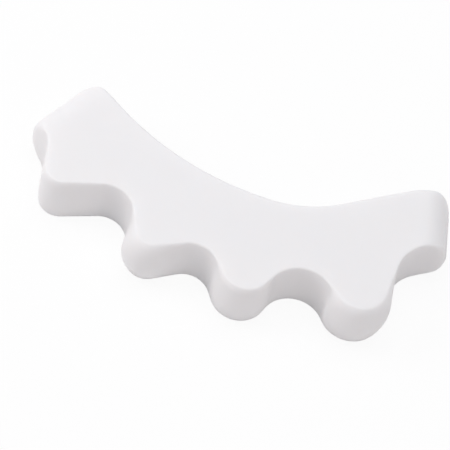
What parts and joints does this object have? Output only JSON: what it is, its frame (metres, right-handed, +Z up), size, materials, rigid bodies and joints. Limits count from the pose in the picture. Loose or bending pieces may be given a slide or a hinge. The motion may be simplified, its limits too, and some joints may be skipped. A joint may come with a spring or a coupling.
{
  "type": "toe separator",
  "caption": "Soft moulded spacer whose rounded fingers sit between the toes and hold them apart, with a hollow back edge and rounded ends.",
  "frame": {"origin": "middle of the bounding box in plan, at the underside", "axes": "+X towards the big toe end, -Y towards the toes, +Z up through the thickness"},
  "size_m": [0.0928, 0.0398, 0.0122],
  "materials": {
    "white_silicone": "soft satin"
  },
  "bodies": {
    "root": {"toe_separator": "white_silicone"}
  },
  "joints": []
}
